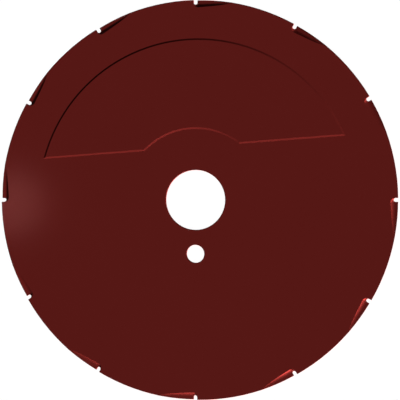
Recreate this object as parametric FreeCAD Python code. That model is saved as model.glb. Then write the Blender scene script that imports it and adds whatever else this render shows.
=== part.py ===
import FreeCAD, Part
import math
import os

# Seed plate of a planter's seed meter: one flat moulded disc.
# Its rim carries seed cells. Each cell is a narrow notch through the rim, with a ramped pocket in
# the face on the clockwise side of it, so that seeds slide down the ramp into the notch.
# A low half-moon pad stands on the face above the bore. The underside is flat.
#
# Millimetres. +Z is up and is the bore's axis, with the pocketed face on top.
# The origin is the bore's centre on the underside. +Y points at the first cell and at the pad.
# The drive pin hole lies on -Y.

# Plate
plate_diameter = 200.0
plate_thickness = 2.2
bore_diameter = 30.0
pin_hole_diameter = 9.0
pin_hole_web = 7.5  # material left between the bore and the pin hole

# Seed cells
cell_count = 12
notch_width = 1.9
notch_depth = 2.15  # from the rim to the tip of the round end
pocket_depth = 1.2  # of the ramp, where it meets the notch
pocket_slope = 4.0  # degrees that the ramp rises, away from the notch
pocket_floor = 1.6  # width of the ramp's flat floor, inwards from the rim
pocket_radius = 2.6  # of the hollow bank that joins the floor to the face
pocket_lead = 0.5  # from the notch's wall to where the bank starts to turn round the notch's tip

# Half-moon pad
pad_height = 0.24
pad_edge_run = 0.85  # width of the sloping edge, seen from above
pad_rim_margin = 19.2  # from the rim to the foot of the pad's outer edge
pad_hub_margin = 20.5  # from the bore to the foot of the pad's inner arc
pad_chord_offset = 26.3  # from the bore's centre to the foot of the straight edge
pad_turn = 4.0  # degrees that the straight edge rises to the right

# How far a cutting tool runs past the surface that it cuts through
overcut = 1.0
TOUCHING = 1e-6  # a gap below this counts as contact

plate_radius = plate_diameter / 2
bore_radius = bore_diameter / 2
pin_hole_radius = pin_hole_diameter / 2
pin_hole_offset = bore_radius + pin_hole_web + pin_hole_radius
notch_radius = notch_width / 2
pad_outer_radius = plate_radius - pad_rim_margin
pad_hub_radius = bore_radius + pad_hub_margin

UP = FreeCAD.Vector(0, 0, 1)
CENTRE = FreeCAD.Vector(0, 0, 0)


def through_hole(radius, x, y):
    """Cylinder that cuts a round hole through the plate at x, y."""
    foot = FreeCAD.Vector(x, y, -overcut)
    return Part.makeCylinder(radius, plate_thickness + 2 * overcut, foot, UP)


def blank_disc():
    """The flat disc with its bore and its drive pin hole."""
    disc = Part.makeCylinder(plate_radius, plate_thickness)
    bore = through_hole(bore_radius, 0, 0)
    pin_hole = through_hole(pin_hole_radius, 0, -pin_hole_offset)
    return disc.cut([bore, pin_hole])


def half_plane_block():
    """Block over everything beyond the pad's straight edge, with that edge sloping."""
    reach = plate_diameter
    section = [
        FreeCAD.Vector(-reach, pad_chord_offset, 0),
        FreeCAD.Vector(-reach, pad_chord_offset + pad_edge_run, pad_height),
        FreeCAD.Vector(-reach, reach, pad_height),
        FreeCAD.Vector(-reach, reach, 0),
    ]
    face = Part.Face(Part.makePolygon(section + section[:1]))
    block = face.extrude(FreeCAD.Vector(2 * reach, 0, 0))
    block.rotate(CENTRE, UP, pad_turn)
    return block


def half_moon_pad():
    """Low pad between an arc inside the rim, an arc round the hub and a straight edge."""
    moon = Part.makeCone(pad_outer_radius, pad_outer_radius - pad_edge_run, pad_height)
    hub = Part.makeCone(pad_hub_radius, pad_hub_radius + pad_edge_run, pad_height)
    pad = moon.cut(hub).common(half_plane_block())
    pad.translate(FreeCAD.Vector(0, 0, plate_thickness))
    return pad


def notch_cutter():
    """Slot with a round inner end, through the rim at the first cell."""
    tip_centre = plate_radius - notch_depth + notch_radius
    round_end = through_hole(notch_radius, 0, tip_centre)
    mouth = Part.makeBox(
        notch_width,
        plate_radius + overcut - tip_centre,
        plate_thickness + 2 * overcut,
        FreeCAD.Vector(-notch_radius, tip_centre, -overcut),
    )
    return round_end.fuse(mouth)


def pocket_cutter():
    """Tool for the ramped pocket beside the first cell's notch.

    It is a block with its lower edges rounded towards the hub and towards the notch. Its flat
    bottom cuts the ramp's floor, the rounding cuts the hollow bank behind the floor, and the
    round corner carries that bank round the notch's tip. The block is tilted, so that the ramp
    is deepest at the notch's clockwise wall and rises to the face.
    """
    floor = plate_thickness - pocket_depth
    ramp_length = pocket_depth / math.tan(math.radians(pocket_slope))
    left = notch_radius + pocket_lead - pocket_radius
    back = plate_radius - pocket_floor - pocket_radius
    block = Part.makeBox(
        notch_radius + ramp_length + pocket_radius - left,
        plate_radius + overcut - back,
        pocket_depth + pocket_radius + overcut,
        FreeCAD.Vector(left, back, floor),
    )
    block = block.makeFillet(pocket_radius, edges_at_corner(block, left, back, floor))
    wall_foot = FreeCAD.Vector(notch_radius, 0, floor)
    block.rotate(wall_foot, FreeCAD.Vector(0, 1, 0), -pocket_slope)
    return block


def edges_at_corner(block, x, y, z):
    """The three edges of a block that meet at the corner x, y, z."""
    corner = Part.Vertex(x, y, z)
    return [edge for edge in block.Edges if edge.distToShape(corner)[0] < TOUCHING]


def ring_of_cells(tool):
    """Copies of a tool at every cell, spaced evenly round the rim."""
    copies = []
    for index in range(cell_count):
        copy = tool.copy()
        copy.rotate(CENTRE, UP, -index * 360.0 / cell_count)
        copies.append(copy)
    return copies


def seed_plate():
    """The whole plate as one solid."""
    plate = blank_disc().fuse(half_moon_pad())
    plate = plate.cut(ring_of_cells(pocket_cutter()))
    plate = plate.cut(ring_of_cells(notch_cutter()))
    return plate.removeSplitter()


def export(node, shape):
    """Check that the shape is one sound solid and write it to parts/NODE.step."""
    if not shape.isValid() or len(shape.Solids) != 1:
        raise ValueError(f"{node} is not one valid solid")
    solid = shape.Solids[0]
    solid.exportStep(f"parts/{node}.step")
    box = solid.optimalBoundingBox(False)
    print(node, f"{box.XLength:.3f} x {box.YLength:.3f} x {box.ZLength:.3f} mm,", f"{solid.Volume:.1f} mm3")


os.makedirs("parts", exist_ok=True)
export("seed_plate", seed_plate())
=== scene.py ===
"""Looks of a moulded seed plate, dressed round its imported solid.

The plate is one piece, so its solid keeps its place and its form here. This script rounds the sharp
moulded edges, gives the plate its plastic, and sets the floor, the lamps and the camera round it.

Lengths are metres, as in the frame, and names that end in _mm hold millimetres.
"""

import logging
import math
from dataclasses import dataclass, field
from enum import Enum
from typing import Any

import bpy
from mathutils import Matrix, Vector


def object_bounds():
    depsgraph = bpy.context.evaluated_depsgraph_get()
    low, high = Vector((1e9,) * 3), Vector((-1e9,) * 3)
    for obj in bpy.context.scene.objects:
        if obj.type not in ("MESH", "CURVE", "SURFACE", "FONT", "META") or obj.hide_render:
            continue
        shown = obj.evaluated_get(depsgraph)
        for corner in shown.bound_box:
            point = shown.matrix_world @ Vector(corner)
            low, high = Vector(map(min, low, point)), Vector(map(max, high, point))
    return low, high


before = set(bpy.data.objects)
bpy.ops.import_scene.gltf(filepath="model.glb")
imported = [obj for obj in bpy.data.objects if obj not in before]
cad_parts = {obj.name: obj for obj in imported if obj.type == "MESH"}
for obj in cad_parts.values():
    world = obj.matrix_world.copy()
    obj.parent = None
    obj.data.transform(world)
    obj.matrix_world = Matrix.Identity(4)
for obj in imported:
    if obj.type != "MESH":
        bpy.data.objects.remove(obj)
CAD_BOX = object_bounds()

MM = 0.001
PLATE_NODE = "seed_plate"
PLATE_BODY = "root"

# A Mix node has two inputs and an output of its own for each type of data
NUMBERS_IN, NUMBER_OUT = (2, 3), 0
COLOURS_IN, COLOUR_OUT = (6, 7), 2
WHITE = (1.0, 1.0, 1.0, 1.0)

log = logging.getLogger("seed_plate")


def linear(hex_colour: str) -> tuple[float, float, float, float]:
    """Turn an sRGB hex colour into linear light.

    Args:
        hex_colour: six hex digits after a hash sign.

    Returns:
        Red, green, blue and an alpha of 1, linear.
    """
    shares = [int(hex_colour[i : i + 2], 16) / 255 for i in (1, 3, 5)]
    red, green, blue = [s / 12.92 if s <= 0.04045 else ((s + 0.055) / 1.055) ** 2.4 for s in shares]
    return red, green, blue, 1.0


def add_node(
    tree: bpy.types.NodeTree,
    kind: str,
    settings: dict[str, Any] | None = None,
    inputs: dict[str | int, Any] | None = None,
) -> bpy.types.Node:
    """Add one node, set it up and feed its sockets.

    Args:
        tree: the node tree that gets the node.
        kind: the node's type.
        settings: the node's own properties by name.
        inputs: for each socket, by name or number, a value or the output that is linked to it.

    Returns:
        The new node.
    """
    node = tree.nodes.new(kind)
    for name, value in (settings or {}).items():
        setattr(node, name, value)
    for socket, value in (inputs or {}).items():
        if isinstance(value, bpy.types.NodeSocket):
            tree.links.new(value, node.inputs[socket])
        else:
            node.inputs[socket].default_value = value
    return node


def direction(azimuth: float, elevation: float) -> Vector:
    """Unit vector towards a place in the sky.

    Args:
        azimuth: degrees from +X towards +Y.
        elevation: degrees above the floor.

    Returns:
        The vector, in the frame.
    """
    a, e = math.radians(azimuth), math.radians(elevation)
    return Vector((math.cos(a) * math.cos(e), math.sin(a) * math.cos(e), math.sin(e)))


@dataclass(frozen=True)
class MouldedPolypropylene:
    """Red polypropylene, injection moulded in a spark-eroded cavity.

    The cavity leaves a fine satin grain whose pits swallow most of the gloss, so the plate shows
    an even dark red with a small soft sheen. The melt's flow leaves clouds that are hardly seen.
    The hollow banks keep the coarser finish of the electrode that cut them, so their sheen is
    broad. The upright walls are dragged when the plate leaves its mould, which gives them fine
    upright lines and no sheen.
    """

    name: str = "moulded_red_polypropylene"
    colour: str = "#561815"
    cloud_colour: str = "#541714"
    ior: float = 1.49
    gloss: float = 0.02  # of which 0.5 is the full gloss that the refractive index gives
    roughness: float = 0.092
    roughness_spread: float = 0.02
    # Where a finish begins and where it is full, as the upward part of the surface's normal
    bank_roughness: float = 0.45
    bank_steepness: tuple[float, float] = (0.955, 0.88)
    wall_roughness: float = 0.6
    wall_spread: float = 0.2
    wall_steepness: tuple[float, float] = (0.7, 0.3)
    sheen_tint: str = "#ff9490"
    cloud_mm: float = 38.0
    cloud_detail: float = 3.0
    # Spark-eroded grain is about 0.05 mm wide, which is too fine to show here. It is drawn coarser.
    grain_mm: float = 0.7
    grain_detail: float = 2.0
    grain_harshness: float = 0.6
    grain_height_mm: float = 0.0008
    drag_mm: float = 0.12
    drag_length_mm: float = 3.0
    drag_detail: float = 1.0

    def build(self) -> bpy.types.Material:
        """Make the material.

        Returns:
            The material, ready to be given to a piece.
        """
        material = bpy.data.materials.new(self.name)
        material.use_nodes = True
        tree = material.node_tree
        tree.nodes.clear()
        place = add_node(tree, "ShaderNodeTexCoord").outputs["Object"]
        clouds = add_node(
            tree,
            "ShaderNodeTexNoise",
            inputs={
                "Vector": place,
                "Scale": 1 / (self.cloud_mm * MM),
                "Detail": self.cloud_detail,
            },
        ).outputs["Fac"]
        grain = add_node(
            tree,
            "ShaderNodeTexNoise",
            inputs={
                "Vector": place,
                "Scale": 1 / (self.grain_mm * MM),
                "Detail": self.grain_detail,
                "Roughness": self.grain_harshness,
            },
        ).outputs["Fac"]
        first, second = COLOURS_IN
        colour = add_node(
            tree,
            "ShaderNodeMix",
            {"data_type": "RGBA"},
            {"Factor": clouds, first: linear(self.colour), second: linear(self.cloud_colour)},
        ).outputs[COLOUR_OUT]
        faces = self.spread(tree, grain, self.roughness, self.roughness_spread)
        roughness = self.roughness_of_steep_parts(tree, place, faces)
        bump = add_node(
            tree,
            "ShaderNodeBump",
            inputs={"Strength": 1.0, "Distance": self.grain_height_mm * MM, "Height": grain},
        )
        shader = add_node(
            tree,
            "ShaderNodeBsdfPrincipled",
            inputs={
                "Base Color": colour,
                "Roughness": roughness,
                "Normal": bump.outputs["Normal"],
                "IOR": self.ior,
                "Specular IOR Level": self.gloss,
                "Specular Tint": linear(self.sheen_tint),
            },
        )
        add_node(tree, "ShaderNodeOutputMaterial", inputs={"Surface": shader.outputs["BSDF"]})
        return material

    def spread(
        self, tree: bpy.types.NodeTree, pattern: bpy.types.NodeSocket, middle: float, spread: float
    ) -> bpy.types.NodeSocket:
        """Turn a pattern into a roughness that varies about a middle.

        Args:
            tree: the material's node tree.
            pattern: socket that runs from 0 to 1.
            middle: roughness where the pattern is at its middle.
            spread: how far the roughness runs to either side.

        Returns:
            The socket with the roughness.
        """
        return add_node(
            tree,
            "ShaderNodeMapRange",
            inputs={"Value": pattern, "To Min": middle - spread, "To Max": middle + spread},
        ).outputs["Result"]

    def roughness_of_steep_parts(
        self,
        tree: bpy.types.NodeTree,
        place: bpy.types.NodeSocket,
        elsewhere: bpy.types.NodeSocket,
    ) -> bpy.types.NodeSocket:
        """Roughness that changes with the slope: a coarser bank, and dragged lines on the walls.

        Args:
            tree: the material's node tree.
            place: socket with the place on the plate.
            elsewhere: socket with the roughness of the faces.

        Returns:
            The socket with the roughness.
        """
        normal = add_node(tree, "ShaderNodeTexCoord").outputs["Normal"]
        upward = add_node(tree, "ShaderNodeSeparateXYZ", inputs={"Vector": normal}).outputs["Z"]
        tilt = add_node(tree, "ShaderNodeMath", {"operation": "ABSOLUTE"}, {0: upward}).outputs[0]
        fine, coarse = 1 / (self.drag_mm * MM), 1 / (self.drag_length_mm * MM)
        squeezed = add_node(
            tree,
            "ShaderNodeVectorMath",
            {"operation": "MULTIPLY"},
            {0: place, 1: (fine, fine, coarse)},
        ).outputs["Vector"]
        lines = add_node(
            tree,
            "ShaderNodeTexNoise",
            inputs={"Vector": squeezed, "Scale": 1.0, "Detail": self.drag_detail},
        ).outputs["Fac"]
        dragged = self.spread(tree, lines, self.wall_roughness, self.wall_spread)
        banks = self.by_slope(tree, tilt, self.bank_steepness, elsewhere, self.bank_roughness)
        return self.by_slope(tree, tilt, self.wall_steepness, banks, dragged)

    def by_slope(
        self,
        tree: bpy.types.NodeTree,
        tilt: bpy.types.NodeSocket,
        steepness: tuple[float, float],
        below: bpy.types.NodeSocket,
        above: bpy.types.NodeSocket | float,
    ) -> bpy.types.NodeSocket:
        """Change from one roughness to another as the surface gets steeper.

        Args:
            tree: the material's node tree.
            tilt: socket with the upward part of the normal.
            steepness: upward parts at which the change begins and ends.
            below: roughness of the flatter surface.
            above: roughness of the steeper surface.

        Returns:
            The socket with the roughness.
        """
        begin, end = steepness
        share = add_node(
            tree, "ShaderNodeMapRange", inputs={"Value": tilt, "From Min": begin, "From Max": end}
        ).outputs["Result"]
        first, second = NUMBERS_IN
        return add_node(
            tree,
            "ShaderNodeMix",
            {"data_type": "FLOAT"},
            {"Factor": share, first: below, second: above},
        ).outputs[NUMBER_OUT]


@dataclass
class SeedPlate:
    """The plate itself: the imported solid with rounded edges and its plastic."""

    finish: MouldedPolypropylene = field(default_factory=MouldedPolypropylene)
    edge_radius_mm: float = 0.1
    edge_steps: int = 2
    sharp_angle: float = 65.0  # degrees; the banks' and the pad's shallow edges stay as they are
    weld_mm: float = 0.001

    def build(self) -> bpy.types.Object:
        """Round and dress the plate.

        Returns:
            The plate's object.
        """
        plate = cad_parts[PLATE_NODE]
        self.round_edges(plate)
        plate.data.materials[0] = self.finish.build()
        return plate

    def round_edges(self, plate: bpy.types.Object) -> None:
        """Give the right-angled edges the small radius that a mould leaves.

        Args:
            plate: the plate's object.
        """
        weld = plate.modifiers.new("join_facets", "WELD")
        weld.merge_threshold = self.weld_mm * MM
        bevel = plate.modifiers.new("moulded_edges", "BEVEL")
        bevel.width = self.edge_radius_mm * MM
        bevel.segments = self.edge_steps
        bevel.limit_method = "ANGLE"
        bevel.angle_limit = math.radians(self.sharp_angle)
        bevel.use_clamp_overlap = False
        bevel.harden_normals = True
        bevel.loop_slide = False  # sliding along the facets folds tiny faces over at the notch tips


class LampReach(Enum):
    """What a lamp lights on a surface."""

    COLOUR = "the surface's own colour, with no glare"
    GLARE = "the gloss alone"


@dataclass(frozen=True)
class FarLamp:
    """A distant soft lamp, such as a studio light at the far end of a room."""

    name: str
    azimuth: float  # degrees from +X towards +Y
    elevation: float  # degrees above the floor
    strength: float  # watts per square metre, straight on
    spread: float  # degrees across, as seen from the plate
    reach: LampReach
    casts_shadow: bool = False
    colour: str = "#ffffff"

    def build(self) -> bpy.types.Object:
        """Put the lamp up.

        Returns:
            The lamp's object.
        """
        data = bpy.data.lights.new(self.name, "SUN")
        data.energy = self.strength
        data.color = linear(self.colour)[:3]
        data.angle = math.radians(self.spread)
        data.use_shadow = self.casts_shadow
        lamp = bpy.data.objects.new(self.name, data)
        lamp.rotation_mode = "QUATERNION"
        lamp.rotation_quaternion = direction(self.azimuth, self.elevation).to_track_quat("Z", "Y")
        lamp.visible_glossy = self.reach is not LampReach.COLOUR
        lamp.visible_diffuse = self.reach is not LampReach.GLARE
        bpy.context.scene.collection.objects.link(lamp)
        return lamp


@dataclass
class PhotoCamera:
    """The camera, where the photo's perspective puts it.

    It stands over the plate and leans a little to the right. The plate fills the picture.
    """

    lens_mm: float = 99.3
    sensor_mm: float = 36.0
    face_height_mm: float = 2.2  # of the plate's face, above which the camera stands
    place_mm: tuple[float, float, float] = (74.9, -0.2, 546.5)  # from the face, over the bore
    lean: float = 7.559  # degrees to the right
    nod: float = 0.016  # degrees

    def build(self) -> bpy.types.Object:
        """Set the camera up and make it the scene's own.

        Returns:
            The camera's object.
        """
        data = bpy.data.cameras.new("photo_camera")
        data.lens = self.lens_mm
        data.sensor_width = self.sensor_mm
        camera = bpy.data.objects.new("photo_camera", data)
        camera.location = (Vector(self.place_mm) + Vector((0, 0, self.face_height_mm))) * MM
        camera.rotation_euler = (math.radians(self.nod), math.radians(self.lean), 0)
        bpy.context.scene.collection.objects.link(camera)
        bpy.context.scene.camera = camera
        return camera


@dataclass
class Studio:
    """Pale floor, white surround and soft lamps.

    The key light comes from low in front, in two lamps side by side, so that the hollow banks
    shade off softly. The light that the pale floor throws back up is a lamp just below the level
    of the floor, and so is the one whose glare the banks show. Neither reaches a level face, so
    the plate's face stays free of their glare from every side.
    """

    floor_size: float = 8.0
    floor_drop_mm: float = 0.05  # below the plate, so that the two faces don't meet
    floor_colour: str = "#e8e8e8"
    floor_lift: float = 0.22  # what the floor needs on top of its lit colour to look white
    surround: float = 1.0  # as seen, and as mirrored in the gloss
    ambient: float = 0.05  # as it lights a surface
    lamps: tuple[FarLamp, ...] = (
        FarLamp("key_left", -60.0, 14.0, 8.52, 4.0, LampReach.COLOUR),
        FarLamp("key_right", -30.0, 14.0, 3.67, 4.0, LampReach.COLOUR),
        FarLamp("floor_bounce", -60.0, -8.0, 9.5, 4.0, LampReach.COLOUR),
        FarLamp("bank_glare", -58.0, -3.0, 92.0, 5.0, LampReach.GLARE, colour="#ff6a62"),
        FarLamp("gloss_lamp", 180.4, 72.7, 0.115, 3.2, LampReach.GLARE, casts_shadow=True),
    )

    def build(self) -> None:
        """Make the floor, the surround and the lamps."""
        self.build_floor()
        self.build_surround()
        for lamp in self.lamps:
            lamp.build()
            log.info("lamp %s lights %s", lamp.name, lamp.reach.value)

    def build_floor(self) -> bpy.types.Object:
        """Lay the floor under the plate.

        Returns:
            The floor's object.
        """
        half = self.floor_size / 2
        level = CAD_BOX[0].z - self.floor_drop_mm * MM
        mesh = bpy.data.meshes.new("floor")
        around = ((-half, -half), (half, -half), (half, half), (-half, half))
        corners = [(x, y, level) for x, y in around]
        mesh.from_pydata(corners, [], [(0, 1, 2, 3)])
        floor = bpy.data.objects.new("floor", mesh)
        mesh.materials.append(self.floor_material())
        bpy.context.scene.collection.objects.link(floor)
        floor.visible_diffuse = False  # it throws no light back onto the plate's banks
        return floor

    def seen_directly(self, tree: bpy.types.NodeTree) -> bpy.types.NodeSocket:
        """Socket that is 1 for what the camera, gloss or glass sees.

        Args:
            tree: the node tree that asks.

        Returns:
            The socket.
        """
        path = add_node(tree, "ShaderNodeLightPath").outputs
        seen = path["Is Camera Ray"]
        for other in ("Is Glossy Ray", "Is Transmission Ray"):
            seen = add_node(
                tree, "ShaderNodeMath", {"operation": "MAXIMUM"}, {0: seen, 1: path[other]}
            ).outputs[0]
        return seen

    def floor_material(self) -> bpy.types.Material:
        """Matt white paper, which scatters light evenly and keeps the plate's soft shadow.

        Returns:
            The floor's material.
        """
        material = bpy.data.materials.new("matt_white_paper")
        material.use_nodes = True
        tree = material.node_tree
        tree.nodes.clear()
        paper = add_node(
            tree, "ShaderNodeBsdfDiffuse", inputs={"Color": linear(self.floor_colour)}
        ).outputs["BSDF"]
        seen = self.seen_directly(tree)
        lift = add_node(
            tree, "ShaderNodeMath", {"operation": "MULTIPLY"}, {0: seen, 1: self.floor_lift}
        ).outputs[0]
        glow = add_node(tree, "ShaderNodeEmission", inputs={"Strength": lift}).outputs["Emission"]
        both = add_node(tree, "ShaderNodeAddShader", inputs={0: paper, 1: glow}).outputs["Shader"]
        add_node(tree, "ShaderNodeOutputMaterial", inputs={"Surface": both})
        return material

    def build_surround(self) -> None:
        """White surround where it is seen, and even soft light everywhere else."""
        world = bpy.data.worlds.new("studio")
        bpy.context.scene.world = world
        world.use_nodes = True
        tree = world.node_tree
        tree.nodes.clear()
        soft, seen = [
            add_node(
                tree, "ShaderNodeBackground", inputs={"Color": WHITE, "Strength": strength}
            ).outputs["Background"]
            for strength in (self.ambient, self.surround)
        ]
        mixed = add_node(
            tree,
            "ShaderNodeMixShader",
            inputs={0: self.seen_directly(tree), 1: soft, 2: seen},
        )
        add_node(tree, "ShaderNodeOutputWorld", inputs={"Surface": mixed.outputs["Shader"]})


def main() -> None:
    """Build the plate, then the studio and the camera."""
    logging.basicConfig(level=logging.INFO, format="%(name)s: %(message)s")
    bpy.context.scene.view_settings.view_transform = "Standard"
    plate = SeedPlate().build()
    log.info("piece %s belongs to body %s", plate.name, PLATE_BODY)
    Studio().build()
    PhotoCamera().build()


if __name__ == "__main__":
    main()
